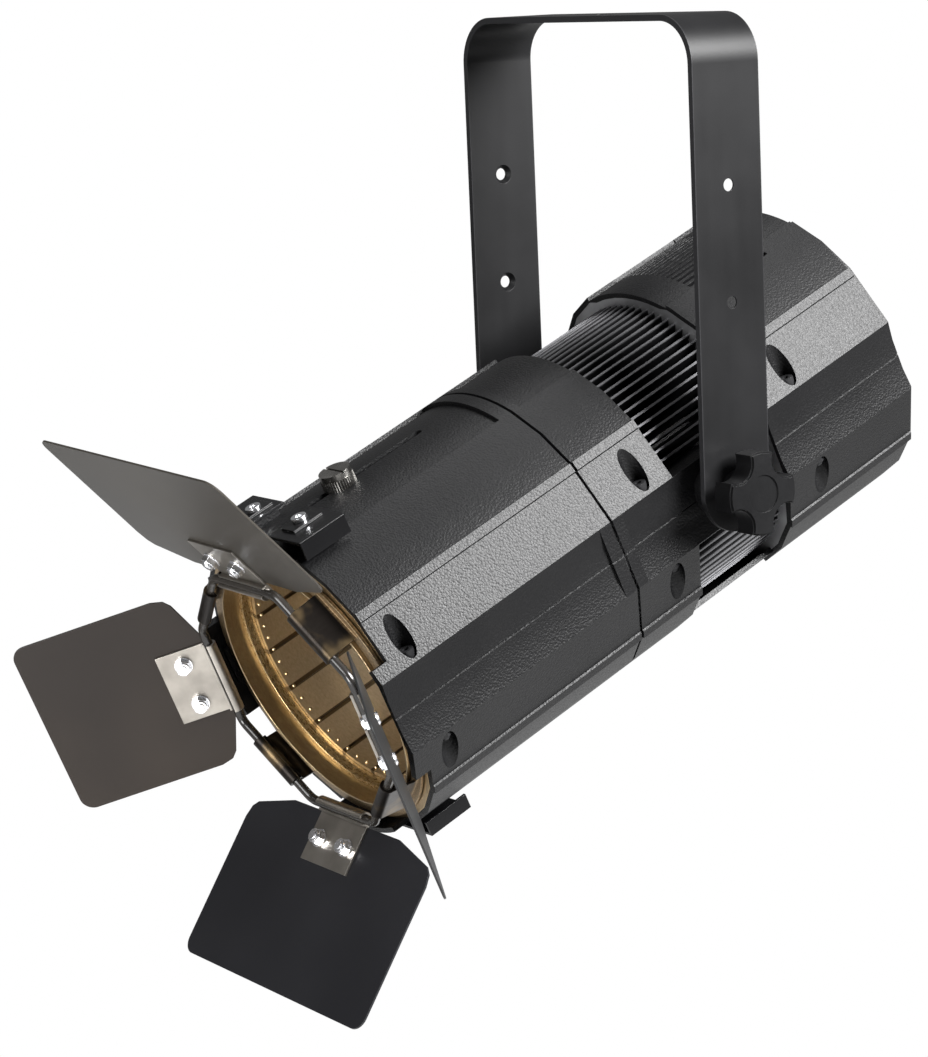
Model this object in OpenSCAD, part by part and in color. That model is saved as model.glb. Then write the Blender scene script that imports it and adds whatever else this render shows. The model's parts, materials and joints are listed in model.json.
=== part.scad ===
// Theatre spotlight: finned lamp housing, sliding lens, four-leaf barndoor and hanging yoke.
// Millimetres. Origin: centre of the hanging hole, on the top face of the yoke.
// X runs along the tilt axis, -Y is the front, +Z is up.
// The housing is drawn in its own frame: x along the tilt axis, y up from the beam,
// z forward along the beam, with zero on the tilt axis.

/* [Node] */
// Which piece to draw

/* [Yoke] */
// Outside width over both arms
yoke_w = 182.5; // [176:0.5:200]
// Width of the flat strip
strip_w = 40; // [30:1:50]
// Thickness of the flat strip
strip_t = 3; // [2:0.5:5]
// Outside radius of the two bends
bend_r = 23; // [10:1:30]
// Height of the strip's top face above the tilt axis
pivot_drop = 224; // [200:1:260]
// Diameter of the hanging hole
hang_d = 10.5; // [8.5:0.5:13]
// Diameter of the four fixing holes in the arms
arm_hole_d = 6; // [4:0.1:8]
// Height of the upper arm hole above the tilt axis
arm_hole_hi = 144.2; // [120:0.1:180]
// Height of the lower arm hole above the tilt axis
arm_hole_lo = 89.1; // [60:0.1:110]

/* [Aim] */
// Angle of the beam below level
tilt = 23.4; // [-50:0.1:130]
// Turn of the barndoor about the beam
door_turn = -2; // [-180:1:180]
// Opening of the top leaf from straight ahead
phi_top = 68; // [0:1:90]
// Opening of the bottom leaf from straight ahead
phi_bottom = 34; // [0:1:90]
// Opening of the left leaf from straight ahead
phi_left = 37; // [-35:1:90]
// Opening of the right leaf from straight ahead
phi_right = 61; // [-35:1:90]

/* [Housing] */
// Radius of the corners of the cast shell
shell_r = 80; // [70:0.5:82]
// Rear rim of the cover, behind the tilt axis
cover_rear = 129.2; // [100:0.1:160]
// Front edge of the cover, behind the tilt axis
cover_front = 40.2; // [35:0.1:60]
// Rear edge of the middle casting
ring_rear = 22.8; // [20:0.1:30]
// Front edge of the middle casting
ring_front = 62.8; // [50:0.1:70]
// Rear edge of the front barrel
barrel_rear = 64.3; // [52:0.1:72]
// Front edge of the front barrel
barrel_front = 198.3; // [180:0.1:230]
// How far the three cheeks stand in front of the barrel
cheek_len = 8.9; // [4:0.1:12]

/* [Cooling] */
// Number of fins
fin_count = 92; // [60:1:96]
// Radius over the fins
fin_r = 71.5; // [66:0.5:73]

/* [Lens] */
// Start of the slot for the zoom screw
slot_rear = 94.8; // [80:0.1:110]
// End of the slot for the zoom screw
slot_front = 165.8; // [150:0.1:175]
// Rest position of the zoom screw
zoom_s = 145.8; // [97:0.1:163]

/* [Barndoor] */
// Distance from the beam axis to the hinge wire
wire_a = 63.5; // [60:0.5:66]
// Position of the wire along the beam
wire_s = 213.5; // [210:0.5:225]
// Radius of the wire
wire_r = 2.3; // [1.5:0.1:3]
// Half width of the large leaves
big_w = 76.4; // [60:0.1:80]
// Reach of the large leaves from the wire
big_l = 91; // [70:1:100]
// Half width of the small leaves
small_w = 47.3; // [35:0.1:48]
// Reach of the small leaves from the wire
small_l = 92; // [70:1:100]

/* [Hidden] */
$fn = 64;
arm_out = yoke_w / 2;
arm_in = arm_out - strip_t;
side_full = shell_r * cos(13.5);
side_cut = side_full - 1.5;
top_cut = shell_r - 2;
floor_n = 20;
screw_x = shell_r - 8;
lug_r = 6.5;
barrel_screws = [186];
ring_screws = [38];
cover_screws = [-62.7];
panel_s = -(cover_rear - 3.2);
button_x = [-27, -9, 9, 27];
loop_x = [-42, -18];
clip_r = wire_r + 0.06;
clip_t = 1.2;
leaf_t = 1;

function pol(r, a) = [r * cos(a), r * sin(a)];

// Outside of one half of the cast section, from seam to seam.
function half_out(side, top) = concat(
  [[side - 0.5, 0], [side, 0.5], [side, 8.4], pol(shell_r, 13.5), pol(shell_r, 37)],
  [pol(shell_r, 52), pol(shell_r, 66.5)],
  top < shell_r ? [pol(top, 66.8)] : [],
  [for (a = [70.5 : 3 : 109.5]) pol(top, a)],
  top < shell_r ? [pol(top, 113.2)] : [],
  [pol(shell_r, 113.5), pol(shell_r, 128), pol(shell_r, 143), pol(shell_r, 166.5)],
  [[-side, 8.4], [-side, 0.5], [0.5 - side, 0]]);

// Inside of the same half, carried a little past the seam.
function half_in(g) = concat(
  [[side_cut - 2.5 - g, -1], [side_cut - 2.5 - g, 17.2 - g], pol(shell_r - 2.8 - g, 37)],
  [pol(shell_r - 2.8 - g, 52), pol(shell_r - 2.8 - g, 66.5)],
  [for (a = [70.5 : 6.5 : 109.5]) pol(top_cut - 2.6 - g, a)],
  [pol(shell_r - 2.8 - g, 113.5), pol(shell_r - 2.8 - g, 128), pol(shell_r - 2.8 - g, 143)],
  [[2.5 + g - side_cut, 17.2 - g], [2.5 + g - side_cut, -1]]);

module body_frame() {
  translate([0, 0, -pivot_drop])
    rotate([90 + tilt, 0, 0])
      children();
}

// A cylinder along the beam.
module rod_s(r, s0, s1) {
  translate([0, 0, s0])
    cylinder(r = r, h = s1 - s0);
}

// A cylinder along the tilt axis.
module rod_x(r, x0, x1) {
  translate([x0, 0, 0])
    rotate([0, 90, 0])
      cylinder(r = r, h = x1 - x0);
}

// A cylinder up from the beam at x and s.
module rod_n(r, n0, n1, x, s) {
  translate([x, n0, s])
    rotate([-90, 0, 0])
      cylinder(r = r, h = n1 - n0);
}

module box(x0, x1, n0, n1, s0, s1) {
  translate([x0, n0, s0])
    cube([x1 - x0, n1 - n0, s1 - s0]);
}

module sides() {
  children();
  mirror([1, 0, 0])
    children();
}

// ---------- yoke ----------

module strip_section(w, t, r) {
  translate([-w, -pivot_drop])
    square([2 * w, pivot_drop - bend_r]);
  translate([-(w - r), -bend_r - 0.01])
    square([2 * (w - r), bend_r - t + 0.01]);
  for (sx = [-1, 1])
    translate([sx * (w - r), -bend_r])
      circle(r = r);
}

module yoke() {
  color("#1d1d1f")
  difference() {
    union() {
      rotate([90, 0, 0])
        translate([0, 0, -strip_w / 2])
          linear_extrude(strip_w)
            difference() {
              strip_section(arm_out, 0, bend_r);
              strip_section(arm_in, strip_t, bend_r - strip_t);
            }
      for (x0 = [arm_in, -arm_out])
        translate([0, 0, -pivot_drop])
          rod_x(strip_w / 2, x0, x0 + strip_t);
    }
    translate([0, 0, -strip_t - 1])
      cylinder(d = hang_d, h = strip_t + 2);
    translate([0, 0, -pivot_drop])
      rod_x(4.5, -arm_out - 1, arm_out + 1);
    for (h = [arm_hole_hi, arm_hole_lo])
      translate([0, 0, h - pivot_drop]) {
        rod_x(arm_hole_d / 2, -arm_out - 1, arm_out + 1);
        sides()
          translate([arm_in - 0.01, 0, 0])
            rotate([0, 90, 0])
              cylinder(r1 = 4.8, r2 = arm_hole_d / 2, h = 2.2);
      }
  }
}

// ---------- tilt lock ----------

module star(r, cut, x0, x1) {
  translate([x0, 0, 0])
    rotate([90, 0, 90])
      linear_extrude(x1 - x0)
        difference() {
          circle(r = r);
          for (a = [45 : 90 : 315])
            translate(21.5 * [cos(a), sin(a)])
              circle(r = cut);
        }
}

module knob() {
  translate([0, 0, -pivot_drop])
    difference() {
      union() {
        star(20, 9, 98.5, 109.5);
        star(19.1, 9.8, 97.5, 98.5);
        star(19.1, 9.8, 109.5, 110.5);
        rod_x(10, 91.6, 98);
      }
      rod_x(4, 90, 104);
      rod_x(9, 109.7, 112);
    }
}

module tilt_knob_right() {
  color("#161617")
    knob();
}

module tilt_knob_left() {
  color("#161617")
    mirror([1, 0, 0])
      knob();
}

module tilt_stud_right() {
  color("#b9bbbd")
    translate([0, 0, -pivot_drop])
      rod_x(4, 72, 104);
}

module tilt_stud_left() {
  color("#b9bbbd")
    translate([0, 0, -pivot_drop])
      rod_x(4, -104, -72);
}

module friction_washers() {
  color("#2a2a2c")
    translate([0, 0, -pivot_drop])
      sides()
        difference() {
          rod_x(13, 86.4, 87.9);
          rod_x(7, 86, 88);
        }
}

module bush() {
  difference() {
    union() {
      rod_x(7, 68, 86.4);
      rod_x(9, 68, 71);
    }
    rod_x(4.05, 67, 90);
  }
}

module pivot_bush_right() {
  color("#b08d4a")
    body_frame()
      bush();
}

module pivot_bush_left() {
  color("#b08d4a")
    body_frame()
      mirror([1, 0, 0])
        bush();
}

// ---------- cast shells ----------

module half_solid(s0, s1, side, top) {
  translate([0, 0, s0])
    linear_extrude(s1 - s0)
      polygon(half_out(side, top));
}

module half_void(s0, s1) {
  translate([0, 0, s0])
    linear_extrude(s1 - s0)
      polygon(half_in(0));
}

module bead(s0, s1) {
  sides()
    translate([0, 0, s0])
      linear_extrude(s1 - s0)
        polygon([pol(78, 33.5), pol(80.2, 34.1), pol(81, 37.3), pol(78.5, 38)]);
}

module lugs(at) {
  sides()
    for (s = at)
      intersection() {
        half_solid(s - 10, s + 10, side_cut, top_cut);
        rod_n(lug_r, 0, 46, screw_x, s);
      }
}

module screw_holes(at) {
  sides()
    for (s = at) {
      rod_n(5, floor_n, 60, screw_x, s);
      rod_n(2.2, -1, floor_n + 1, screw_x, s);
    }
}

module wedge(a0, a1, s0, s1) {
  translate([0, 0, s0])
    linear_extrude(s1 - s0)
      polygon([[0, 0], pol(110, a0), pol(110, (a0 + a1) / 2), pol(110, a1)]);
}

module barrel_half() {
  difference() {
    union() {
      difference() {
        union() {
          half_solid(barrel_rear, 71.3, side_full, shell_r);
          half_solid(71.2, barrel_front, side_cut, top_cut);
          bead(barrel_rear, barrel_front);
        }
        half_void(barrel_rear - 1, barrel_front + 1);
      }
      lugs(barrel_screws);
    }
    screw_holes(barrel_screws);
  }
}

module cheek_wall(s1) {
  difference() {
    half_solid(barrel_front, s1, side_cut, top_cut);
    half_void(barrel_front - 1, s1 + 1);
  }
}

// Inward lip on a cheek that keeps the barndoor plate in place.
module lip(a0, a1, r) {
  intersection() {
    difference() {
      rod_s(r, 200.8, 203.3);
      rod_s(71.8, 200, 204);
    }
    wedge(a0, a1, 200, 204);
  }
}

module barrel_upper() {
  s1 = barrel_front + cheek_len;
  color("#202022")
  body_frame()
  difference() {
    union() {
      barrel_half();
      intersection() {
        cheek_wall(s1);
        union() {
          wedge(0, 19, barrel_front, s1);
          wedge(161, 180, barrel_front, s1);
        }
      }
      lip(0, 8, 75.5);
      lip(172, 180, 75.5);
      sides()
        intersection() {
          box(13, 27, 74, 80.5, 174, 191);
          difference() {
            rod_s(100, 170, 195);
            rod_s(76, 169, 196);
          }
        }
    }
    box(-2.2, 2.2, 70, 90, slot_rear + 2.2, slot_front - 2.2);
    rod_n(2.2, 70, 90, 0, slot_rear + 2.2);
    rod_n(2.2, 70, 90, 0, slot_front - 2.2);
    sides()
      rod_n(2, 60, 90, 20, 182.3);
  }
}

module barrel_lower() {
  s1 = barrel_front + cheek_len;
  color("#202022")
  body_frame()
  rotate([0, 0, 180])
  difference() {
    union() {
      barrel_half();
      intersection() {
        cheek_wall(s1);
        union() {
          wedge(0, 20, barrel_front, s1);
          wedge(154, 180, barrel_front, s1);
          wedge(70, 110, barrel_front, s1);
        }
      }
      lip(0, 8, 75.5);
      lip(172, 180, 75.5);
      lip(82, 98, 77);
      intersection() {
        box(-14, 14, 74, 80.5, 174, 190);
        difference() {
          rod_s(100, 170, 195);
          rod_s(76, 169, 196);
        }
      }
    }
    for (x = [-8, 8])
      rod_n(2, 60, 90, x, 182.3);
  }
}

// Half of the middle casting: ring, side arm and half of each pivot boss.
module ring_half() {
  difference() {
    union() {
      difference() {
        union() {
          half_solid(58.7, ring_front, side_full, shell_r);
          half_solid(56.7, 58.8, side_full, top_cut);
          half_solid(ring_rear, 56.8, side_cut, top_cut);
          bead(ring_rear, ring_front);
        }
        half_void(ring_rear - 1, ring_front + 1);
      }
      lugs(ring_screws);
      sides() {
        intersection() {
          box(66, 78, 0, 18.6, -16, ring_rear + 14);
          half_solid(-20, 60, side_cut, top_cut);
        }
        intersection() {
          rod_x(14, 66, 86.4);
          box(60, 90, 0, 20, -20, 20);
        }
      }
    }
    screw_holes(ring_screws);
    sides() {
      rod_x(7, 60, 90);
      rod_x(9, 60, 71);
    }
  }
}

module ring_upper() {
  color("#202022")
  body_frame()
    ring_half();
}

module ring_lower() {
  color("#202022")
  body_frame()
  rotate([0, 0, 180])
  union() {
    ring_half();
    translate([0, 0, -cover_front])
      linear_extrude(cover_front + ring_rear + 0.5)
        polygon(concat([for (a = [58 : 4 : 122]) pol(78, a)],
          [for (a = [122 : -4 : 58]) pol(75.4, a)]));
  }
}

module cover_half() {
  difference() {
    union() {
      difference() {
        union() {
          half_solid(-cover_rear + 2, -cover_front, side_cut, top_cut);
          translate([0, 0, -cover_rear])
            linear_extrude(2.01)
              polygon(0.985 * half_out(side_cut, top_cut));
          bead(-cover_rear + 2, -cover_front);
        }
        half_void(-cover_rear - 1, -cover_front + 1);
      }
      lugs(cover_screws);
    }
    screw_holes(cover_screws);
  }
}

module panel_post(x, n) {
  translate([x, n, 0])
    difference() {
      rod_s(5, panel_s + 2, panel_s + 14);
      rod_s(1.6, panel_s, panel_s + 12);
    }
}

module cover_upper() {
  color("#202022")
  body_frame()
  union() {
    difference() {
      cover_half();
      for (i = [-10 : 10])
        rotate([0, 0, 2.9 * i])
          box(-1, 1, 70, 90, -102.2, -59.7);
    }
    intersection() {
      half_solid(-cover_rear, -cover_front, side_cut, top_cut);
      sides()
        panel_post(58, 42);
    }
  }
}

module cover_lower() {
  color("#202022")
  body_frame()
  rotate([0, 0, 180])
  union() {
    cover_half();
    intersection() {
      half_solid(-cover_rear, -cover_front, side_cut, top_cut);
      sides()
        panel_post(58, 42);
    }
  }
}

module shell_screws() {
  color("#8f9193")
  body_frame()
    sides()
      for (s = concat(barrel_screws, ring_screws, cover_screws)) {
        difference() {
          rod_n(3.5, floor_n, floor_n + 4, screw_x, s);
          translate([screw_x, floor_n + 2, s])
            rotate([-90, 0, 0])
              cylinder(r = 1.7, h = 3, $fn = 6);
        }
        rod_n(2, -floor_n - 5, floor_n, screw_x, s);
      }
}

module shell_nuts() {
  color("#8f9193")
  body_frame()
    sides()
      for (s = concat(barrel_screws, ring_screws, cover_screws))
        translate([screw_x, -floor_n - 3.2, s])
          rotate([-90, 0, 0])
            difference() {
              cylinder(r = 4.04, h = 3.2, $fn = 6);
              translate([0, 0, -1])
                cylinder(r = 2, h = 6);
            }
}

// ---------- optics ----------

function full_in(g) = concat([for (p = half_in(g)) if (p[1] > 0) p],
  [for (p = half_in(g)) if (p[1] > 0) -p]);

module divider_plate() {
  color("#3a3a3c")
  body_frame()
    difference() {
      translate([0, 0, ring_front])
        linear_extrude(barrel_rear - ring_front)
          polygon([for (a = [0 : 6 : 354]) pol(76.2, a)]);
      rod_s(41, ring_front - 1, barrel_rear + 1);
    }
}

module front_collar() {
  color("#6d5a3e")
  body_frame()
    difference() {
      union() {
        translate([0, 0, barrel_front - 2.5])
          linear_extrude(2.5)
            polygon(full_in(0));
        rod_s(66, 190, 202.3);
      }
      rod_s(65, 189, 204);
    }
}

module lens_tube() {
  color("#7b6646")
  body_frame()
    difference() {
      union() {
        rod_s(64.2, barrel_rear, 192.8);
        rod_s(71, barrel_rear, barrel_rear + 2.5);
        difference() {
          rod_s(65, 190, 192.8);
          rod_s(64, 189, 194);
        }
      }
      rod_s(62.6, barrel_rear + 2.5, 194);
      rod_s(44, barrel_rear - 1, barrel_rear + 3);
      box(-5.5, 5.5, 55, 70, slot_rear - 9, slot_front + 9);
    }
}

module lens_carriage() {
  color("#8a7350")
  body_frame()
    difference() {
      union() {
        rod_s(62.3, zoom_s - 28.8, 187);
        intersection() {
          box(-5, 5, 60, 64.4, zoom_s - 5, zoom_s + 5);
          rod_s(64.4, 100, 190);
        }
      }
      rod_s(60.3, 124, 188);
      rod_s(56, zoom_s - 30, 125);
      rod_n(1.95, 50, 70, 0, zoom_s);
      for (i = [0 : 17])
        rotate([0, 0, 20 * i])
          box(60, 61.2, -0.8, 0.8, 138, 184);
    }
}

module lens() {
  color("#cfe3ea")
  body_frame()
    intersection() {
      rod_s(60.2, 124, 148);
      translate([0, 0, 37])
        sphere(r = 110, $fn = 128);
    }
}

module lens_ring() {
  color("#c8a860")
  body_frame()
    difference() {
      rod_s(60.3, 130.4, 133);
      rod_s(58.2, 130, 134);
    }
}

module zoom_thumbscrew() {
  color("#b9bbbd")
  body_frame()
    difference() {
      union() {
        rod_n(7.8, 79.6, 86, 0, zoom_s);
        rod_n(5, 78.5, 79.6, 0, zoom_s);
        rod_n(1.9, 60.8, 79, 0, zoom_s);
      }
      box(-9, 9, 84.8, 87, zoom_s - 0.6, zoom_s + 0.6);
    }
}

// ---------- light source and cooling ----------

function fin_tip(a) = abs(sin(a)) < 0.3 ? 64 : fin_r;

module heat_sink() {
  color("#141415")
  body_frame()
    union() {
      translate([0, 0, -cover_front])
        linear_extrude(cover_front + ring_rear)
          polygon([for (i = [0 : fin_count - 1])
            for (k = [0 : 3])
              pol(k == 0 || k == 3 ? 38 : fin_tip(i * 360 / fin_count),
                i * 360 / fin_count + [-0.9, -0.45, 0.45, 0.9][k])]);
      sides()
        box(30, 66, -9, 9, -15, ring_rear);
    }
}

module led_board() {
  color("#e8e8e6")
  body_frame()
    rod_s(30, ring_rear, ring_rear + 1.6);
}

module led_array() {
  color("#e9c94a")
  body_frame()
    union() {
      box(-14, 14, -14, 14, ring_rear + 1.6, ring_rear + 2.8);
      rod_s(11, ring_rear + 2.8, ring_rear + 3.4);
    }
}

module reflector() {
  color("#d5d7d9")
  body_frame()
    difference() {
      union() {
        translate([0, 0, ring_rear + 1.6])
          cylinder(r1 = 24, r2 = 40, h = 36.4);
        rod_s(44, ring_front - 3, ring_front);
      }
      translate([0, 0, ring_rear + 1.5])
        cylinder(r1 = 21, r2 = 37.4, h = 39);
    }
}

// ---------- rear electronics ----------

module rear_bulkhead() {
  color("#9b9da0")
  body_frame()
    difference() {
      translate([0, 0, -cover_front - 2])
        linear_extrude(2)
          polygon(full_in(0));
      rod_s(12, -cover_front - 3, -cover_front + 1);
    }
}

module driver_board() {
  color("#2f6b3c")
  body_frame()
    union() {
      box(-45, 45, -46, 46, -56, -54.4);
      for (x = [-40, 40])
        for (n = [-40, 40])
          translate([x, n, 0])
            rod_s(3, -54.4, -cover_front - 2);
      box(-30, -4, -16, 14, -78, -56);
      box(6, 34, -32, -10, -72, -56);
      translate([18, 18, 0])
        rod_s(9, -84, -56);
      translate([34, 32, 0])
        rod_s(6, -76, -56);
    }
}

module control_board() {
  color("#2f6b3c")
  body_frame()
    union() {
      box(-40, 40, 3, 48, -114, -112.4);
      for (x = [-37, 37])
        translate([x, 44, 0])
          rod_s(2.5, panel_s + 2, -114);
      for (x = button_x)
        box(x - 3, x + 3, 9, 15, -116.8, -114);
    }
}

module rear_panel() {
  color("#1b1b1d")
  body_frame()
    difference() {
      translate([0, 0, panel_s])
        linear_extrude(2)
          polygon(full_in(0));
      box(-24, 24, 27, 43, panel_s - 1, panel_s + 3);
      for (x = button_x)
        translate([x, 12, 0])
          rod_s(4.3, panel_s - 1, panel_s + 3);
      box(6, 34, -42, -21, panel_s - 1, panel_s + 3);
      for (n = [-17, -45])
        translate([-20, n, 0])
          rod_s(11, panel_s - 1, panel_s + 3);
      for (x = [-58, 58])
        for (n = [-42, 42])
          translate([x, n, 0])
            rod_s(2, panel_s - 1, panel_s + 3);
      for (x = loop_x)
        translate([x, 56, 0])
          rod_s(2.5, panel_s - 1, panel_s + 3);
    }
}

module display_window() {
  color("#0c1a22")
  body_frame()
    union() {
      box(-24, 24, 27, 43, panel_s, panel_s + 2);
      box(-26, 26, 25, 45, panel_s + 2, panel_s + 4);
    }
}

module button_at(x) {
  color("#3b3b3e")
  body_frame()
    translate([x, 12, 0]) {
      rod_s(4, panel_s - 1.6, panel_s + 8);
      rod_s(5.5, panel_s + 2.4, panel_s + 3.4);
    }
}

module button_menu() {
  button_at(button_x[0]);
}

module button_down() {
  button_at(button_x[1]);
}

module button_up() {
  button_at(button_x[2]);
}

module button_enter() {
  button_at(button_x[3]);
}

module power_inlet() {
  color("#101012")
  body_frame()
    difference() {
      union() {
        box(6, 34, -42, -21, panel_s, panel_s + 20);
        box(3, 37, -44.5, -18.5, panel_s - 1.6, panel_s);
      }
      box(9, 31, -39, -24, panel_s - 2, panel_s + 14);
    }
}

module data_sockets() {
  color("#8f9193")
  body_frame()
    for (n = [-17, -45])
      translate([-20, n, 0])
        difference() {
          union() {
            rod_s(11, panel_s, panel_s + 18);
            box(-13, 13, -13, 13, panel_s - 1.5, panel_s);
          }
          difference() {
            rod_s(9, panel_s - 2, panel_s + 12);
            for (a = [0 : 72 : 288])
              rotate([0, 0, a])
                translate([5, 0, 0])
                  rod_s(0.9, panel_s - 1, panel_s + 13);
          }
        }
}

module panel_screws() {
  color("#8f9193")
  body_frame()
    for (x = [-58, 58])
      for (n = [-42, 42])
        translate([x, n, 0]) {
          rod_s(1.6, panel_s, panel_s + 10);
          difference() {
            rod_s(3.2, panel_s - 1.8, panel_s);
            rod_s(1.2, panel_s - 2, panel_s - 0.8);
          }
        }
}

module safety_loop() {
  s1 = panel_s - 16;
  color("#b9bbbd")
  body_frame()
    union() {
      for (x = loop_x)
        translate([x, 56, 0]) {
          rod_s(2.5, s1, panel_s + 5);
          difference() {
            rod_s(4.5, panel_s + 2, panel_s + 5);
            rod_s(2.4, panel_s + 1, panel_s + 6);
          }
          translate([0, 0, s1])
            sphere(r = 2.5);
        }
      translate([loop_x[0], 56, s1])
        rotate([0, 90, 0])
          cylinder(r = 2.5, h = loop_x[1] - loop_x[0]);
    }
}

// ---------- accessory brackets ----------

module top_bracket() {
  difference() {
    union() {
      box(12, 39.5, 80.5, 82, 170.3, 196.8);
      box(38, 39.5, 72.5, 82, 170.3, 196.8);
      box(16, 27, 82, 83.2, 174, 191);
    }
    rod_n(2, 79, 85, 20, 182.3);
  }
}

module bracket_top_right() {
  color("#1c1c1e")
  body_frame()
    top_bracket();
}

module bracket_top_left() {
  color("#1c1c1e")
  body_frame()
    mirror([1, 0, 0])
      top_bracket();
}

module bracket_bottom() {
  color("#1c1c1e")
  body_frame()
    rotate([0, 0, 180])
      difference() {
        union() {
          box(-36, 36, 80.5, 82, 169.8, 194.8);
          sides()
            box(34.5, 36, 74.5, 82, 169.8, 194.8);
        }
        for (x = [-8, 8])
          rod_n(2, 79, 85, x, 182.3);
      }
}

module pan_screw(x, n, s) {
  rod_n(2, n - 12, n, x, s);
  difference() {
    rod_n(3.8, n, n + 2.2, x, s);
    rod_n(1.4, n + 1, n + 3, x, s);
  }
}

module bracket_screws() {
  color("#8f9193")
  body_frame() {
    sides()
      pan_screw(20, 83.2, 182.3);
    rotate([0, 0, 180])
      for (x = [-8, 8])
        pan_screw(x, 82, 182.3);
  }
}

// ---------- barndoor ----------

module door_frame() {
  body_frame()
    rotate([0, 0, door_turn])
      children();
}

// One sheet tab from the plate to the wire, drawn at zero degrees.
module wire_tab() {
  translate([0, 14, 0])
    rotate([90, 0, 0])
      linear_extrude(28)
        polygon([[67.4, 200.3], [69.6, 200.3], [69.6, 202], [67.2, wire_s], [66, wire_s], [68.2, 202]]);
  translate([wire_a, -14, wire_s])
    rotate([-90, 0, 0])
      difference() {
        cylinder(r = wire_r + 1.4, h = 28);
        translate([0, 0, -1])
          cylinder(r = wire_r, h = 30);
        translate([-10, 0.6, -1])
          cube([10 - 0.5, 10, 30]);
      }
}

module barndoor_plate() {
  color("#3a2f24")
  door_frame()
    union() {
      difference() {
        rod_s(73.3, 198.8, 200.4);
        rod_s(66.4, 198, 201);
      }
      for (a = [45 : 90 : 315])
        rotate([0, 0, a])
          wire_tab();
    }
}

// Eight straight sides, round in section, mitred at the corners.
module hinge_wire() {
  color("#232224")
  door_frame()
    translate([0, 0, wire_s])
      rotate([0, 0, 22.5])
        rotate_extrude($fn = 8)
          translate([wire_a / cos(22.5), 0])
            polygon([for (a = [0 : 10 : 350]) [wire_r * cos(a) / cos(22.5), wire_r * sin(a)]]);
}

// Frame of a leaf: x along the wire, y out along the leaf, z to its outer face.
module leaf_frame(at, phi) {
  door_frame()
    rotate([0, 0, at])
      translate([wire_a, 0, wire_s])
        rotate([0, phi, 0])
          rotate([90, 0, 90])
            children();
}

module leaf_sheet(w, l, flat) {
  z0 = clip_r + clip_t;
  color("#2b2622")
  difference() {
    translate([0, 0, z0])
      linear_extrude(leaf_t)
        union() {
          polygon([[-flat, 3], [flat, 3], [w - 5, 10], [w - 1.6, 13], [w, 19], [w, l - 7],
            [w - 7, l - 7], [w - 7, l], [7 - w, l], [7 - w, l - 7], [-w, l - 7], [-w, 19],
            [1.6 - w, 13], [5 - w, 10]]);
          for (sx = [-1, 1])
            translate([sx * (w - 7), l - 7])
              circle(r = 7);
        }
    for (x = [-11, 11])
      translate([x, 16, z0 - 1])
        cylinder(r = 2, h = 4);
  }
}

module clip() {
  color("#77746f")
  difference() {
    union() {
      cylinder_u(clip_r + clip_t, 19);
      translate([-19, 0, clip_r])
        cube([38, 28, clip_t]);
    }
    cylinder_u(clip_r, 20);
    translate([-20, 0.9, -clip_r - 2])
      cube([40, 6, clip_r + 2]);
    for (x = [-11, 11])
      translate([x, 16, 0])
        cylinder(r = 2, h = 6);
  }
}

module cylinder_u(r, h) {
  translate([-h, 0, 0])
    rotate([0, 90, 0])
      cylinder(r = r, h = 2 * h);
}

// Two bolts with nuts: low heads behind the leaf, nuts on the clip.
module leaf_bolts() {
  back = clip_r + clip_t + leaf_t;
  color("#b9bbbd")
  for (x = [-11, 11])
    translate([x, 16, 0]) {
      translate([0, 0, clip_r - 5.2])
        cylinder(r = 2, h = back - clip_r + 5.2);
      translate([0, 0, back])
        cylinder(r1 = 3.6, r2 = 2.6, h = 1.1);
      translate([0, 0, clip_r - 0.8])
        difference() {
          cylinder(r = 4.5, h = 0.8);
          translate([0, 0, -1])
            cylinder(r = 2, h = 3);
        }
      translate([0, 0, clip_r - 4.8])
        difference() {
          union() {
            translate([0, 0, 1.2])
              cylinder(r = 4.04, h = 2.8, $fn = 6);
            cylinder(r = 3.2, h = 2);
          }
          translate([0, 0, -1])
            cylinder(r = 2, h = 7);
        }
    }
}

module leaf_top() {
  leaf_frame(90, phi_top)
    leaf_sheet(big_w, big_l, 44);
}

module leaf_bottom() {
  leaf_frame(270, phi_bottom)
    leaf_sheet(big_w, big_l, 44);
}

module leaf_left() {
  leaf_frame(180, phi_left)
    leaf_sheet(small_w, small_l, 24);
}

module leaf_right() {
  leaf_frame(0, phi_right)
    leaf_sheet(small_w, small_l, 24);
}

module clip_top() {
  leaf_frame(90, phi_top)
    clip();
}

module clip_bottom() {
  leaf_frame(270, phi_bottom)
    clip();
}

module clip_left() {
  leaf_frame(180, phi_left)
    clip();
}

module clip_right() {
  leaf_frame(0, phi_right)
    clip();
}

module leaf_bolts_top() {
  leaf_frame(90, phi_top)
    leaf_bolts();
}

module leaf_bolts_bottom() {
  leaf_frame(270, phi_bottom)
    leaf_bolts();
}

module leaf_bolts_left() {
  leaf_frame(180, phi_left)
    leaf_bolts();
}

module leaf_bolts_right() {
  leaf_frame(0, phi_right)
    leaf_bolts();
}

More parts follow.
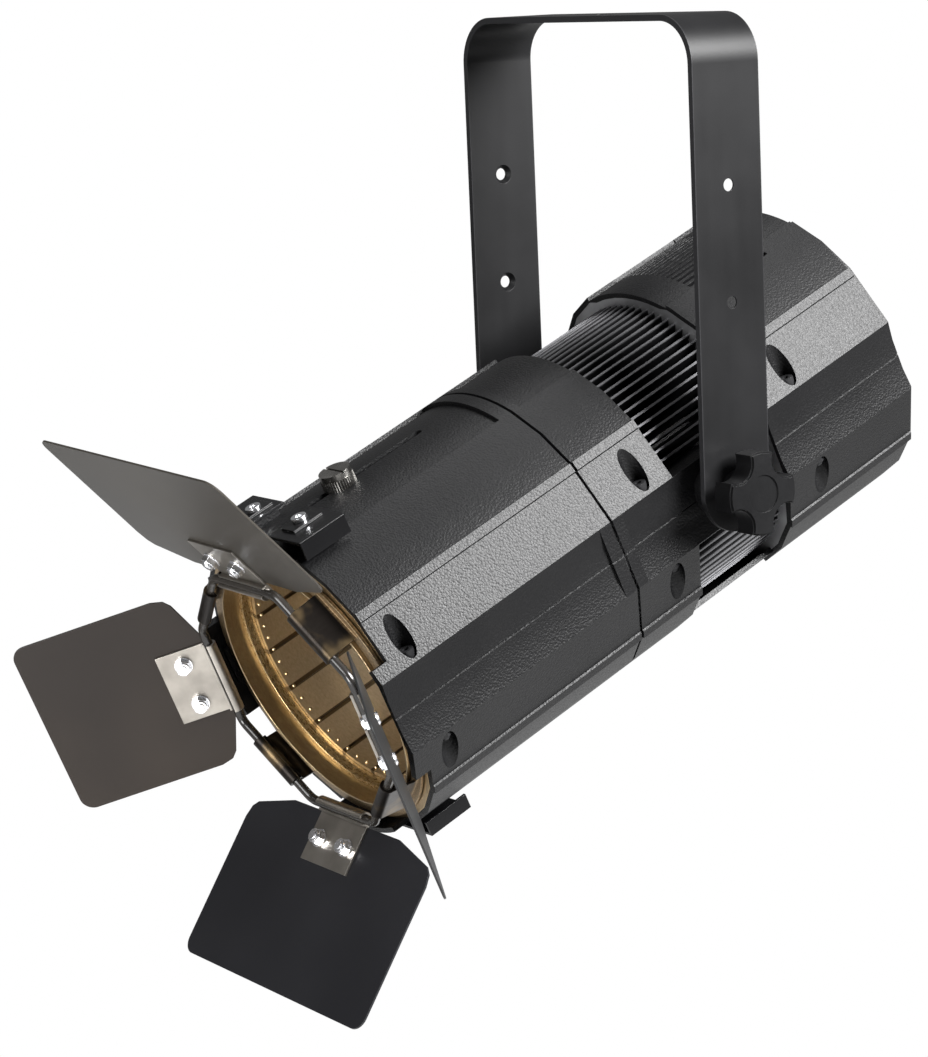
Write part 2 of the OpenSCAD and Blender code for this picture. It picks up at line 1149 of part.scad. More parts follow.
yoke();
tilt_knob_right();
tilt_knob_left();
tilt_stud_right();
tilt_stud_left();
friction_washers();
pivot_bush_right();
pivot_bush_left();
barrel_upper();
barrel_lower();
ring_upper();
ring_lower();
cover_upper();
cover_lower();
shell_screws();
shell_nuts();
divider_plate();
front_collar();
lens_tube();
lens_carriage();
lens();
lens_ring();
zoom_thumbscrew();
heat_sink();
led_board();
led_array();
reflector();
rear_bulkhead();
driver_board();
control_board();
rear_panel();
display_window();
button_menu();
button_down();
button_up();
button_enter();
power_inlet();
data_sockets();
panel_screws();
safety_loop();
bracket_top_right();
bracket_top_left();
bracket_bottom();
bracket_screws();
barndoor_plate();
hinge_wire();
leaf_top();
leaf_bottom();
leaf_left();
leaf_right();
clip_top();
clip_bottom();
clip_left();
clip_right();
leaf_bolts_top();
leaf_bolts_bottom();
leaf_bolts_left();
leaf_bolts_right();
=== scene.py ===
import json
import math

import bmesh
import bpy
from mathutils import Matrix, Vector

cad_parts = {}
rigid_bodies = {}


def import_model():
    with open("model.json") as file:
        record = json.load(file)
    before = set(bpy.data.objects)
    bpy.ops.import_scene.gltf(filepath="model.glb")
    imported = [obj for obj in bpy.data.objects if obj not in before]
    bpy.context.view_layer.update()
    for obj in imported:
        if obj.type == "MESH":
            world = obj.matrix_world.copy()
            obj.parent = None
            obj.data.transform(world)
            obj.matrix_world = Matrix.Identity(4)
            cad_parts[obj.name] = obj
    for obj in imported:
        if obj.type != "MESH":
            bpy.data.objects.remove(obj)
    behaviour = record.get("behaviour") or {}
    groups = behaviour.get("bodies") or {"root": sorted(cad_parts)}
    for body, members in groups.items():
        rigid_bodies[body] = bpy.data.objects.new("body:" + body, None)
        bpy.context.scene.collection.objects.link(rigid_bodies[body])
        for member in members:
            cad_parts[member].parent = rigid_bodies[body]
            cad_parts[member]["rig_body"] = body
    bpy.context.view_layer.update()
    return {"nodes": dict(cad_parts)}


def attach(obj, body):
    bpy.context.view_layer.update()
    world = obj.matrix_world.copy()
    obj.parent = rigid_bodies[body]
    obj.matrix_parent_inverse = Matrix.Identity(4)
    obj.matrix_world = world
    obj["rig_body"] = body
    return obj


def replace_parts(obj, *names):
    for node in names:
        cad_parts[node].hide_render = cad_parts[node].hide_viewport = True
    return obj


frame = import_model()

NODES = frame["nodes"]
MM = 0.001
TILT = math.radians(113.4)
DROP = 0.224
GROOVES = 18  # in the lens carriage's bore
ARM_HALF = 0.0192  # across the yoke strip, where its painted edge highlight starts
PLATE_FRONT = 0.2008  # along the beam, where the barndoor plate's tabs start
BODY = Matrix.Translation((0, 0, -DROP)) @ Matrix.Rotation(TILT, 4, "X")


# ---------------------------------------------------------------- shader helper

class S:
    """A shader socket that takes part in sums."""

    def __init__(self, m, sock):
        self.m, self.sock = m, sock

    def _op(self, op, a, b=None):
        n = self.m.nt.nodes.new("ShaderNodeMath")
        n.operation = op
        for i, v in enumerate((a, b)):
            if isinstance(v, S):
                self.m.nt.links.new(v.sock, n.inputs[i])
            elif v is not None:
                n.inputs[i].default_value = v
        return S(self.m, n.outputs[0])

    def __add__(self, o): return self._op("ADD", self, o)
    def __radd__(self, o): return self._op("ADD", o, self)
    def __sub__(self, o): return self._op("SUBTRACT", self, o)
    def __rsub__(self, o): return self._op("SUBTRACT", o, self)
    def __mul__(self, o): return self._op("MULTIPLY", self, o)
    def __rmul__(self, o): return self._op("MULTIPLY", o, self)
    def abs(self): return self._op("ABSOLUTE", self)
    def sqrt(self): return self._op("SQRT", self)
    def fract(self): return self._op("FRACT", self)
    def atan2(self, o): return self._op("ARCTAN2", self, o)

    def ramp(self, lo, hi, a=0.0, b=1.0):
        n = self.m.nt.nodes.new("ShaderNodeMapRange")
        n.interpolation_type = "SMOOTHSTEP"
        for k, v in (("From Min", lo), ("From Max", hi), ("To Min", a), ("To Max", b)):
            n.inputs[k].default_value = v
        self.m.nt.links.new(self.sock, n.inputs["Value"])
        return S(self.m, n.outputs["Result"])


class Mat:
    """A procedural material built on one Principled shader."""

    def __init__(self, name, rough=0.5, metal=0.0, coat=0.0, **consts):
        self.mat = bpy.data.materials.new(name)
        self.mat.use_nodes = True
        self.nt = self.mat.node_tree
        self.p = self.nt.nodes["Principled BSDF"]
        self.p.inputs["Roughness"].default_value = rough
        self.p.inputs["Metallic"].default_value = metal
        self.p.inputs["Coat Weight"].default_value = coat
        for k, v in consts.items():
            self.p.inputs[k.replace("_", " ")].default_value = v
        self.tc = self.nt.nodes.new("ShaderNodeTexCoord")
        self.pos = self.tc.outputs["Object"]

    def node(self, kind, links=(), **values):
        n = self.nt.nodes.new(kind)
        for k, v in values.items():
            if hasattr(n, k):
                setattr(n, k, v)
            else:
                n.inputs[k.replace("_", " ")].default_value = v
        for k, v in dict(links).items():
            self.nt.links.new(v.sock if isinstance(v, S) else v, n.inputs[k])
        return n

    def body(self):
        """Object position in the housing's own frame: x, up from the beam, along the beam."""
        n = self.node("ShaderNodeMapping", {"Vector": self.pos}, vector_type="POINT")
        n.inputs["Rotation"].default_value = (-TILT, 0, 0)
        n.inputs["Location"].default_value = Matrix.Rotation(-TILT, 3, "X") @ Vector((0, 0, DROP))
        return n.outputs["Vector"]

    def xyz(self, vec):
        n = self.node("ShaderNodeSeparateXYZ", {"Vector": vec})
        return [S(self, o) for o in n.outputs]

    def stretched(self, vec, sx, sy, sz):
        n = self.node("ShaderNodeVectorMath", {0: vec}, operation="MULTIPLY")
        n.inputs[1].default_value = (sx, sy, sz)
        return n.outputs[0]

    def noise(self, scale, vec=None, detail=4.0, rough=0.55):
        n = self.node("ShaderNodeTexNoise", {"Vector": vec or self.pos},
                      Scale=scale, Detail=detail, Roughness=rough)
        return S(self, n.outputs["Fac"])

    def cells(self, scale, vec=None):
        n = self.node("ShaderNodeTexVoronoi", {"Vector": vec or self.pos}, Scale=scale)
        return S(self, n.outputs["Distance"])

    def mix(self, fac, a, b):
        n = self.node("ShaderNodeMix", data_type="RGBA")
        for i, v in ((6, a), (7, b)):
            if isinstance(v, S):
                self.nt.links.new(v.sock, n.inputs[i])
            else:
                n.inputs[i].default_value = (*v, 1)
        if isinstance(fac, S):
            self.nt.links.new(fac.sock, n.inputs[0])
        else:
            n.inputs[0].default_value = fac
        return S(self, n.outputs[2])

    def set(self, name, value):
        self.nt.links.new(value.sock, self.p.inputs[name])
        return self

    def bump(self, height, strength=0.3, distance=0.0002):
        n = self.node("ShaderNodeBump", {"Height": height})
        n.inputs["Strength"].default_value = strength
        n.inputs["Distance"].default_value = distance
        self.nt.links.new(n.outputs["Normal"], self.p.inputs["Normal"])
        return self


def cast_black():
    m = Mat("cast black powder coat", Specular_IOR_Level=0.14)
    grain = m.cells(900)
    fine = m.noise(1500, detail=2)
    broad = m.noise(9, detail=3)
    m.set("Base Color", m.mix(broad.ramp(0.3, 0.7), (0.0014, 0.0014, 0.0016), (0.003, 0.003, 0.0032)))
    m.set("Roughness", 0.33 + broad * 0.08 + grain * 0.12)
    m.bump(grain * 0.7 + fine * 0.5, 0.75, 0.00025)
    return m.mat


def satin(name, a, b, rough, scale=1200, strength=0.15, spec=0.16):
    m = Mat(name, Specular_IOR_Level=spec)
    broad = m.noise(14, detail=3)
    fine = m.noise(scale, detail=2)
    m.set("Base Color", m.mix(broad.ramp(0.3, 0.7), a, b))
    m.set("Roughness", broad * 0.12 + fine * 0.08 + (rough - 0.1))
    m.bump(fine, strength, 0.0001)
    return m.mat


def yoke_black():
    m = Mat("yoke satin black", Specular_IOR_Level=0.14)
    across = m.xyz(m.pos)[1].abs()
    # painted edge highlight: the strip's colour lightens near its edges, where light catches them
    edge = across.ramp(ARM_HALF, ARM_HALF + 0.0007)
    streak = m.noise(160, m.stretched(m.pos, 1, 1, 0.05), detail=3)
    broad = m.noise(11)
    base = m.mix(broad.ramp(0.3, 0.7), (0.0018, 0.0018, 0.002), (0.0034, 0.0034, 0.0037))
    m.set("Base Color", m.mix(edge * 0.25, base, (0.03, 0.03, 0.032)))
    m.set("Roughness", 0.30 + broad * 0.16 + streak * 0.06)
    m.bump(m.noise(900, detail=2) + streak * 0.4, 0.16, 0.00012)
    return m.mat


def fin_black():
    m = Mat("black anodised fins", Specular_IOR_Level=0.12)
    x, n, s = m.xyz(m.body())
    r = (x * x + n * n).sqrt()
    # fin tips: bare polished metal, and their lighter colour is also a painted edge highlight
    tip = r.ramp(0.0705, 0.0714)
    grit = m.noise(500, m.stretched(m.body(), 1, 1, 0.1), detail=3)
    m.set("Base Color", m.mix(tip * (0.35 + grit * 0.5), (0.0012, 0.0012, 0.0014), (0.11, 0.11, 0.115)))
    m.set("Metallic", tip * 0.6)
    m.set("Roughness", 0.42 + grit * 0.15)
    m.bump(grit, 0.2, 0.0001)
    return m.mat


def steel(name, a, b, rough, axis=(1, 1, 1), bump=0.12):
    m = Mat(name, metal=1.0)
    lines = m.noise(1400, m.stretched(m.body(), *axis), detail=4)
    broad = m.noise(60, detail=3)
    m.set("Base Color", m.mix(broad.ramp(0.25, 0.75), a, b))
    m.set("Roughness", (rough - 0.08) + lines * 0.14 + broad * 0.06)
    m.bump(lines, bump, 0.00006)
    return m.mat


def bronze(name, a, b, rough, line_scale=1100):
    """Turned or brushed bronze-coloured metal; the marks run round the beam."""
    m = Mat(name, metal=1.0)
    x, n, s = m.xyz(m.body())
    vec = m.node("ShaderNodeCombineXYZ", {0: n.atan2(x) * 0.02, 1: s, 2: (x * x + n * n).sqrt()})
    lines = m.noise(line_scale, vec.outputs[0], detail=5, rough=0.7)
    broad = m.noise(18, detail=2)
    m.set("Base Color", m.mix((lines * 0.6 + broad * 0.4).ramp(0.3, 0.7), a, b))
    m.set("Roughness", (rough - 0.1) + lines * 0.2)
    m.bump(lines, 0.2, 0.00008)
    return m.mat


def door_plate():
    """Door plate ring coloured bronze as a painted warm reflection; its tabs, in front of it, dark with
    patches of painted warm reflection.
    """
    m = Mat("door plate with painted warm sheen", metal=0.85)
    s = m.xyz(m.body())[2]
    fine = m.noise(900, m.stretched(m.body(), 1, 1, 0.1), detail=4)
    broad = m.noise(40, detail=3)
    tab = s.ramp(PLATE_FRONT, PLATE_FRONT + 0.0014)
    # painted reflection: the bronze ring and the brown patches on the tabs stand in for warm light reflected
    # off black sheet
    ring = m.mix(fine.ramp(0.3, 0.7), (0.13, 0.09, 0.05), (0.26, 0.19, 0.11))
    tabs = m.mix(broad.ramp(0.52, 0.66), (0.010, 0.008, 0.0065), (0.10, 0.07, 0.035))
    m.set("Base Color", m.mix(tab, ring, tabs))
    m.set("Roughness", 0.26 + fine * 0.16)
    m.bump(fine, 0.2, 0.00008)
    return m.mat


def liner():
    """Inside of the lens carriage: brushed bronze, made lighter as painted light for the lit interior, with
    grooves along the beam darkened as painted shade.
    """
    m = Mat("brushed bronze liner with painted light", metal=1.0)
    x, n, s = m.xyz(m.body())
    turn = n.atan2(x) * (GROOVES / (2 * math.pi))
    # painted shade: the grooves along the beam are darkened where shade falls in them
    groove = ((turn + 0.5).fract() - 0.5).abs().ramp(0.05, 0.075, 1.0, 0.0)
    vec = m.node("ShaderNodeCombineXYZ", {0: n.atan2(x) * 0.03, 1: s, 2: 0 * s})
    lines = m.noise(900, vec.outputs[0], detail=5, rough=0.7)
    broad = m.noise(14, m.body(), detail=2)
    # bronze colour, partly painted light: lightened to stand in for the lit interior
    base = m.mix((lines * 0.5 + broad * 0.5).ramp(0.3, 0.7), (0.46, 0.35, 0.22), (0.70, 0.56, 0.37))
    m.set("Base Color", m.mix(groove * 0.85, base, (0.07, 0.04, 0.018)))
    m.set("Roughness", 0.30 + lines * 0.2)
    m.bump(lines, 0.25, 0.0001)
    return m.mat


def plastic(name, a, b, rough, coat=0.0, scale=700, spec=0.35):
    m = Mat(name, coat=coat, Specular_IOR_Level=spec)
    fine = m.noise(scale, detail=3)
    broad = m.noise(30)
    m.set("Base Color", m.mix(broad.ramp(0.3, 0.7), a, b))
    m.set("Roughness", (rough - 0.08) + fine * 0.16)
    m.bump(fine, 0.15, 0.0001)
    return m.mat


def glass():
    m = Mat("lens glass", rough=0.03)
    m.p.inputs["Transmission Weight"].default_value = 1.0
    m.p.inputs["IOR"].default_value = 1.5
    haze = m.noise(40)
    m.set("Base Color", m.mix(haze, (0.86, 0.93, 0.93), (0.93, 0.97, 0.97)))
    m.set("Roughness", haze * 0.05 + 0.01)
    return m.mat


def leaf_paint(name, inner, outer, rough=0.36):
    m = Mat(name, Specular_IOR_Level=0.18)
    broad = m.noise(9, detail=2)
    fine = m.noise(1600, detail=2)
    m.set("Base Color", m.mix(broad.ramp(0.3, 0.75), inner, outer))
    m.set("Roughness", (rough - 0.08) + broad * 0.16)
    m.bump(fine, 0.10, 0.00008)
    return m.mat


M = {
    "cast": cast_black(),
    "yoke": yoke_black(),
    "fin": fin_black(),
    "knob": plastic("black star knob", (0.0015, 0.0015, 0.0017), (0.003, 0.003, 0.0032), 0.4, spec=0.12),
    "bright": steel("bright zinc", (0.62, 0.63, 0.65), (0.80, 0.80, 0.82), 0.22),
    "clip": steel("brushed clip steel", (0.20, 0.185, 0.165), (0.30, 0.28, 0.25), 0.34, (1, 0.04, 1)),
    "brass": bronze("turned brass", (0.55, 0.38, 0.14), (0.68, 0.50, 0.22), 0.3),
    "fibre": plastic("fibre washer", (0.02, 0.018, 0.016), (0.03, 0.028, 0.025), 0.7),
    "liner": liner(),
    # painted reflection: the tube's gold stands in for warm light reflected at its lip and dimples
    "tube": bronze("tube gold as painted warm reflection", (0.52, 0.38, 0.20), (0.74, 0.58, 0.34), 0.28),
    # painted sheen: the collar's bronze stands in for warm light on its lit band
    "collar": bronze("collar bronze as painted warm sheen", (0.30, 0.22, 0.13), (0.46, 0.35, 0.20), 0.33),
    "plate": steel("plain sheet", (0.30, 0.30, 0.31), (0.42, 0.42, 0.43), 0.4, (1, 0.05, 1)),
    "board": plastic("circuit board", (0.02, 0.11, 0.04), (0.03, 0.16, 0.06), 0.4, 0.3),
    "white": plastic("light board", (0.72, 0.72, 0.70), (0.80, 0.80, 0.78), 0.4),
    "led": plastic("phosphor", (0.75, 0.55, 0.10), (0.85, 0.66, 0.16), 0.3, 0.5),
    "mirror": steel("polished reflector", (0.78, 0.78, 0.80), (0.88, 0.88, 0.90), 0.12),
    "panel": satin("panel satin black", (0.013, 0.013, 0.014), (0.02, 0.02, 0.021), 0.38),
    "bracket": satin("bracket satin black", (0.002, 0.002, 0.0022), (0.004, 0.004, 0.0043), 0.26),
    # painted shade: the shell screws are black to stand in for the shade in their deep recesses
    "screw": satin("screw black as painted recess shade", (0.006, 0.006, 0.0065), (0.012, 0.012, 0.0125), 0.3),
    "dark": steel("dark nickel", (0.17, 0.165, 0.155), (0.27, 0.26, 0.245), 0.26),
    "window": plastic("display window", (0.006, 0.010, 0.014), (0.010, 0.016, 0.022), 0.12, 0.6),
    "button": plastic("grey key", (0.06, 0.06, 0.064), (0.09, 0.09, 0.094), 0.5),
    "socket": plastic("socket black", (0.010, 0.010, 0.011), (0.017, 0.017, 0.018), 0.4),
    "nickel": steel("nickel", (0.50, 0.49, 0.47), (0.62, 0.61, 0.59), 0.28),
    "door": door_plate(),
    "wire": satin("black wire", (0.006, 0.0055, 0.005), (0.014, 0.012, 0.010), 0.22, spec=0.4),
    # the four leaves share one black paint; their tones are painted light: painted warm reflection on the
    # left leaf, painted grey-brown sheen on the top one, painted shade on the bottom one
    "leaf_left": leaf_paint("leaf black with painted warm reflection", (0.012, 0.009, 0.0072), (0.022, 0.0165, 0.0125)),
    "leaf_top": leaf_paint("leaf black with painted grey-brown sheen", (0.014, 0.0125, 0.0105), (0.024, 0.0215, 0.018)),
    "leaf_bottom": leaf_paint("leaf black in painted shade", (0.0052, 0.0052, 0.0062), (0.0085, 0.0085, 0.0098)),
    "leaf_right": leaf_paint("leaf satin black", (0.007, 0.007, 0.0072), (0.012, 0.012, 0.0122)),
    "glass": glass(),
}

LOOK = {
    "yoke": "yoke", "friction_washers": "fibre", "zoom_thumbscrew": "dark", "safety_loop": "bright",
    "lens_ring": "bright", "divider_plate": "plate", "rear_bulkhead": "plate", "front_collar": "collar",
    "lens_tube": "tube", "lens_carriage": "liner", "lens": "glass", "heat_sink": "fin",
    "led_board": "white", "led_array": "led", "reflector": "mirror", "driver_board": "board",
    "control_board": "board", "rear_panel": "panel", "display_window": "window",
    "power_inlet": "socket", "data_sockets": "nickel", "barndoor_plate": "door", "hinge_wire": "wire",
    "leaf_top": "leaf_top", "leaf_bottom": "leaf_bottom", "leaf_left": "leaf_left",
    "leaf_right": "leaf_right",
}
PREFIX = {
    "tilt_knob": "knob", "tilt_stud": "bright", "pivot_bush": "brass", "barrel_": "cast",
    "ring_": "cast", "cover_": "cast", "shell_": "screw", "bracket_s": "bright",
    "bracket_": "bracket", "panel_screws": "bright", "button_": "button", "leaf_bolts": "bright",
    "clip_": "clip",
}


def look(name):
    if name in LOOK:
        return M[LOOK[name]]
    return next(M[v] for k, v in PREFIX.items() if name.startswith(k))


for name, ob in NODES.items():
    ob.data.materials.clear()
    ob.data.materials.append(look(name))


# ---------------------------------------------------------------- mesh helpers

def placed(name, data):
    """A new object with this data, in the scene."""
    ob = bpy.data.objects.new(name, data)
    bpy.context.scene.collection.objects.link(ob)
    return ob


def add(name, mesh, material, body):
    if material is not None:
        mesh.materials.clear()
        mesh.materials.append(M[material])
    ob = placed(name, mesh)
    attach(ob, body)
    return ob


def settle(ob):
    """Applies every modifier: the evaluated object becomes a plain mesh."""
    bpy.context.view_layer.update()
    mesh = bpy.data.meshes.new_from_object(ob.evaluated_get(bpy.context.evaluated_depsgraph_get()))
    old = ob.data
    ob.modifiers.clear()
    bpy.data.objects.remove(ob)
    if old.users == 0:
        bpy.data.meshes.remove(old)
    return mesh


def soften(node, width):
    """The same piece with its sharp edges rounded, shown in place of the CAD node."""
    cad = NODES[node]
    bm = bmesh.new()
    bm.from_mesh(cad.data)
    bmesh.ops.remove_doubles(bm, verts=bm.verts, dist=2e-6)
    bmesh.ops.dissolve_limit(bm, angle_limit=math.radians(0.6), verts=bm.verts, edges=bm.edges)
    mesh = bpy.data.meshes.new(node + "_rounded")
    bm.to_mesh(mesh)
    bm.free()
    mesh.shade_smooth()
    ob = placed(node + "_rounded", mesh)
    bev = ob.modifiers.new("round", "BEVEL")
    bev.width = width * MM
    bev.segments = 2
    bev.limit_method = "ANGLE"
    bev.angle_limit = math.radians(24)
    bev.use_clamp_overlap = True
    even = ob.modifiers.new("even", "WEIGHTED_NORMAL")
    even.weight = 50
    even.keep_sharp = True
    mesh = settle(ob)
    mesh.materials.clear()
    mesh.materials.append(look(node))
    out = placed(node + "_rounded", mesh)
    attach(out, cad["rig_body"])
    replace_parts(out, node)


class Tree:
    """A Geometry Nodes tree with named sizes. It ends in Realize Instances and Set Material."""

    def __init__(self, name, material, **sizes):
        self.nt = bpy.data.node_groups.new(name, "GeometryNodeTree")
        self.nt.interface.new_socket("Geometry", in_out="OUTPUT", socket_type="NodeSocketGeometry")
        self.sizes, self.ids, self.material = sizes, {}, material
        for k, v in sizes.items():
            kind = "NodeSocketInt" if isinstance(v, int) else "NodeSocketFloat"
            self.ids[k] = self.nt.interface.new_socket(k, in_out="INPUT", socket_type=kind).identifier
        self.size = self.nt.nodes.new("NodeGroupInput")

    def node(self, kind, links=(), **values):
        n = self.nt.nodes.new(kind)
        for k, v in values.items():
            if hasattr(n, k):
                setattr(n, k, v)
            else:
                n.inputs[k.replace("_", " ")].default_value = v
        for k, v in dict(links).items():
            self.nt.links.new(self.size.outputs[v] if isinstance(v, str) else v, n.inputs[k])
        return n.outputs[0]

    def end(self, geometry):
        real = self.node("GeometryNodeRealizeInstances", {0: geometry})
        done = self.node("GeometryNodeSetMaterial", {0: real}, Material=M[self.material])
        self.nt.links.new(done, self.nt.nodes.new("NodeGroupOutput").inputs[0])
        return self

    def make(self, place=Matrix.Identity(4), **sizes):
        """The tree's shape as a plain mesh, put in place."""
        ob = placed(self.nt.name, bpy.data.meshes.new(self.nt.name))
        mod = ob.modifiers.new("shape", "NODES")
        mod.node_group = self.nt
        for k, v in {**self.sizes, **sizes}.items():
            mod[self.ids[k]] = v
        mesh = settle(ob)
        mesh.transform(place)
        return mesh


def joined(name, meshes):
    bm = bmesh.new()
    for m in meshes:
        bm.from_mesh(m)
    out = bpy.data.meshes.new(name)
    bm.to_mesh(out)
    bm.free()
    for m in meshes:
        bpy.data.meshes.remove(m)
    return out


# ---------------------------------------------------------------- rounded castings and sheet parts

ROUNDED = {
    "yoke": 0.7, "tilt_knob_right": 1.1, "tilt_knob_left": 1.1,
    "barrel_upper": 0.5, "barrel_lower": 0.5, "ring_upper": 0.5, "ring_lower": 0.5,
    "cover_upper": 0.5, "cover_lower": 0.5, "front_collar": 0.3, "lens_tube": 0.3,
    "leaf_top": 0.3, "leaf_bottom": 0.3, "leaf_left": 0.3, "leaf_right": 0.3,
    "clip_top": 0.3, "clip_bottom": 0.3, "clip_left": 0.3, "clip_right": 0.3,
    "bracket_top_right": 0.35, "bracket_top_left": 0.35, "bracket_bottom": 0.35,
    "zoom_thumbscrew": 0.4, "barndoor_plate": 0.25, "shell_screws": 0.2,
    "leaf_bolts_top": 0.35, "leaf_bolts_bottom": 0.35, "leaf_bolts_left": 0.35, "leaf_bolts_right": 0.35,
    "bracket_screws": 0.3, "rear_panel": 0.2, "data_sockets": 0.2, "power_inlet": 0.3,
}
for name, width in ROUNDED.items():
    soften(name, width)

# ---------------------------------------------------------------- repeated detail

DOOR_TURN = math.radians(-2)
WIRE_A, WIRE_S, WIRE_R = 63.5 * MM, 213.5 * MM, 2.3 * MM
DOORS = {"top": (90, 68), "bottom": (270, 34), "left": (180, 37), "right": (0, 61)}


def door_place(side):
    at, phi = DOORS[side]
    return (BODY @ Matrix.Rotation(DOOR_TURN + math.radians(at), 4, "Z")
            @ Matrix.Translation((WIRE_A, 0, WIRE_S)) @ Matrix.Rotation(math.radians(phi), 4, "Y")
            @ Matrix.Rotation(math.radians(90), 4, "Z") @ Matrix.Rotation(math.radians(90), 4, "X"))


def ridge_ring():
    """Ridges side by side round a circle, pointing outwards, along the circle's own axis."""
    t = Tree("ridge ring", "dark", Count=40, Radius=0.0078, Height=0.005, Size=0.0009)
    ring = t.node("GeometryNodeMeshCircle", {"Vertices": "Count", "Radius": "Radius"})
    ridge = t.node("GeometryNodeMeshCone", {"Radius Top": "Size", "Radius Bottom": "Size", "Depth": "Height"},
                   Vertices=4)
    spin = t.node("FunctionNodeAlignRotationToVector",
                  {"Vector": t.node("GeometryNodeInputPosition")}, axis="X")
    copies = t.node("GeometryNodeInstanceOnPoints", {"Points": ring, "Instance": ridge, "Rotation": spin})
    return t.end(copies)


def thread():
    """A screw thread wound along the Z axis."""
    t = Tree("thread", "bright", Turns=4.0, Radius=0.002, Length=0.003, Depth=0.0003)
    path = t.node("GeometryNodeCurveSpiral",
                  {"Rotations": "Turns", "Start Radius": "Radius", "End Radius": "Radius",
                   "Height": "Length"},
                  Resolution=20)
    wire = t.node("GeometryNodeCurvePrimitiveCircle", {"Radius": "Depth"}, Resolution=5)
    return t.end(t.node("GeometryNodeCurveToMesh", {"Curve": path, "Profile Curve": wire}, Fill_Caps=True))


knurl = ridge_ring().make(
    BODY @ Matrix.Translation((0, 0.0828, 0.1458)) @ Matrix.Rotation(math.radians(90), 4, "X"),
    Radius=0.0074, Height=0.0052, Size=0.0008)
add("thumbscrew_knurl", knurl, None, "zoom_screw")


def bent_wire():
    """A closed wire of straight sides with rounded bends."""
    t = Tree("bent wire", "wire", Sides=8, Radius=0.0687, Bend=0.009, Thickness=0.0023)
    path = t.node("GeometryNodeCurvePrimitiveCircle", {"Resolution": "Sides", "Radius": "Radius"})
    path = t.node("GeometryNodeFilletCurve", {"Curve": path, "Radius": "Bend"}, mode="POLY", Count=8)
    rod = t.node("GeometryNodeCurvePrimitiveCircle", {"Radius": "Thickness"}, Resolution=20)
    return t.end(t.node("GeometryNodeCurveToMesh", {"Curve": path, "Profile Curve": rod}))


def dimple_ring():
    """Small round dimples pressed round the inside of a tube."""
    t = Tree("dimple ring", "tube", Count=54, Radius=0.0602, Size=0.0009)
    ring = t.node("GeometryNodeMeshCircle", {"Vertices": "Count", "Radius": "Radius"})
    dot = t.node("GeometryNodeMeshIcoSphere", {"Radius": "Size"}, Subdivisions=3)
    return t.end(t.node("GeometryNodeInstanceOnPoints", {"Points": ring, "Instance": dot}))


wire = bent_wire().make(BODY @ Matrix.Translation((0, 0, WIRE_S))
                        @ Matrix.Rotation(DOOR_TURN + math.radians(22.5), 4, "Z"),
                        Radius=WIRE_A / math.cos(math.radians(22.5)), Thickness=WIRE_R)
wire.shade_smooth()
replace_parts(add("hinge_wire_bent", wire, "wire", "barndoor"), "hinge_wire")

dimples = dimple_ring().make(BODY @ Matrix.Translation((0, 0, 0.1845)))
dimples.shade_smooth()
add("carriage_dimples", dimples, "tube", "lens_slide")

threads = thread()
for side in DOORS:
    meshes = [threads.make(door_place(side) @ Matrix.Translation((x * MM, 16 * MM, -2.75 * MM)),
                           Turns=2.0, Length=0.0012, Radius=0.0019, Depth=0.0003) for x in (-11, 11)]
    name = "bolt_threads_" + side
    add(name, joined(name, meshes), "bright", "door_" + side)

# ---------------------------------------------------------------- camera and stage

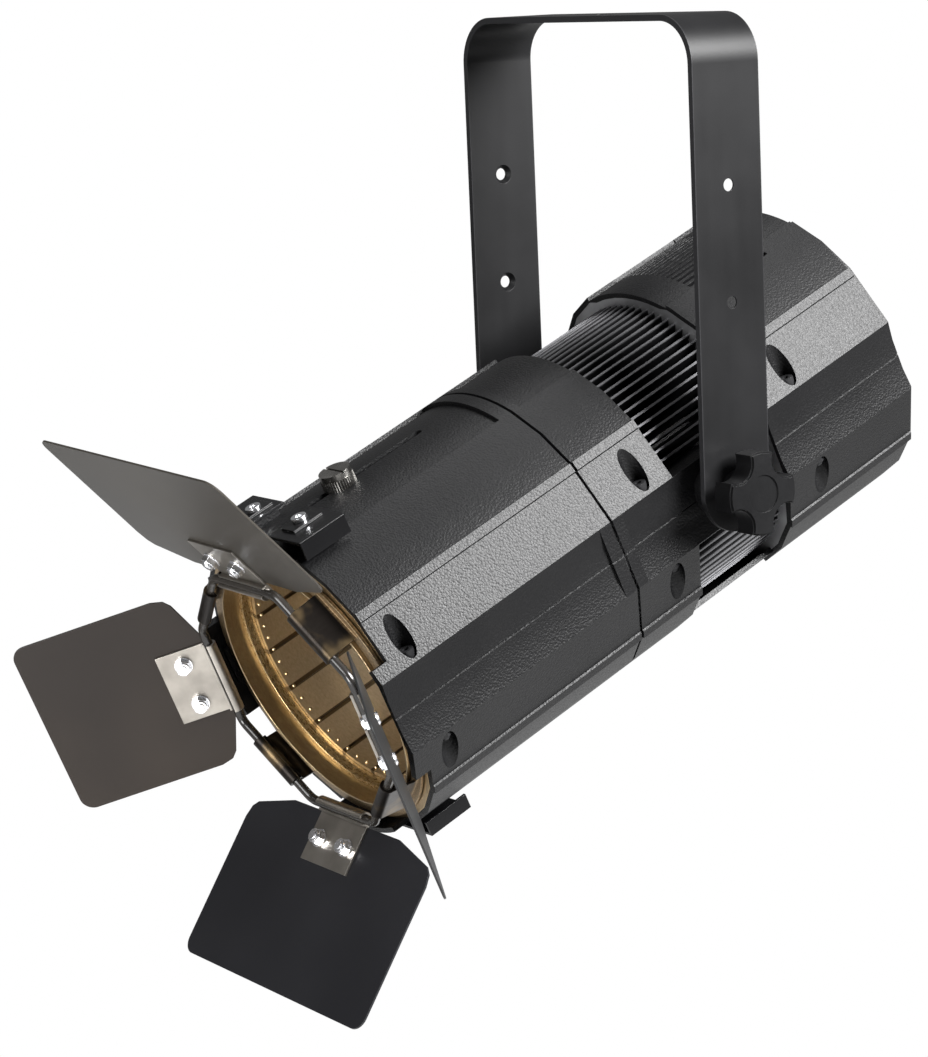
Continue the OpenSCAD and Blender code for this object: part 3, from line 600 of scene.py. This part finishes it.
AZ, EL, ROLL = (math.radians(v) for v in (55.25, 9.8, -2.5))
back = Vector((math.sin(AZ) * math.cos(EL), -math.cos(AZ) * math.cos(EL), math.sin(EL)))
right = Vector((math.cos(AZ), math.sin(AZ), 0))
up = back.cross(right)
R = math.cos(ROLL) * right + math.sin(ROLL) * up
U = -math.sin(ROLL) * right + math.cos(ROLL) * up
cam_data = bpy.data.cameras.new("camera")
cam_data.sensor_width = 36
cam_data.sensor_fit = "AUTO"
cam_data.lens = 111.72
cam_data.clip_start = 0.05
cam = placed("camera", cam_data)
cam.matrix_world = (Matrix.Translation((1.2783, -0.9822, 0.0282))
                    @ Matrix((R, U, back)).transposed().to_4x4())
bpy.context.scene.camera = cam


def area(name, at, target, size, power):
    d = bpy.data.lights.new(name, "AREA")
    d.energy = power
    d.size = size
    o = placed(name, d)
    o.location = at
    o.rotation_euler = (Vector(target) - Vector(at)).to_track_quat("-Z", "Y").to_euler()


HUB = (0, -0.06, -0.26)
area("key", (1.35, 0.55, 0.75), HUB, 0.8, 230)
area("front", (0.3, -1.9, 0.35), HUB, 1.0, 40)
area("top", (-0.2, 0.1, 1.6), HUB, 1.0, 22)
area("mouth", (0.42, -1.15, -0.62), (0, -0.17, -0.30), 0.35, 14)

def seen_white(tree, other, out):
    """White where the camera looks straight at it, the other shader for all bounced light."""
    ray = tree.nodes.new("ShaderNodeLightPath")
    white = tree.nodes.new("ShaderNodeBackground" if out.type == "OUTPUT_WORLD" else "ShaderNodeEmission")
    white.inputs["Color"].default_value = (1, 1, 1, 1)
    both = tree.nodes.new("ShaderNodeMixShader")
    tree.links.new(ray.outputs["Is Camera Ray"], both.inputs[0])
    tree.links.new(other, both.inputs[1])
    tree.links.new(white.outputs[0], both.inputs[2])
    tree.links.new(both.outputs[0], out.inputs["Surface"])


world = bpy.data.worlds.new("studio")
bpy.context.scene.world = world
world.use_nodes = True
soft = world.node_tree.nodes["Background"]
soft.inputs["Color"].default_value = (1, 1, 1, 1)
soft.inputs["Strength"].default_value = 0.22
seen_white(world.node_tree, soft.outputs[0], world.node_tree.nodes["World Output"])
bpy.context.scene.view_settings.view_transform = "Standard"

me = bpy.data.meshes.new("floor")
bm = bmesh.new()
bmesh.ops.create_grid(bm, x_segments=1, y_segments=1, size=6)
bm.to_mesh(me)
bm.free()
me.transform(Matrix.Translation((0, 0, -0.9)))
floor = placed("floor", me)
fm = Mat("pale floor", rough=0.8)
fm.set("Base Color", fm.mix(fm.noise(2), (0.40, 0.40, 0.40), (0.43, 0.43, 0.43)))
seen_white(fm.nt, fm.p.outputs[0], fm.nt.nodes["Material Output"])
me.materials.append(fm.mat)
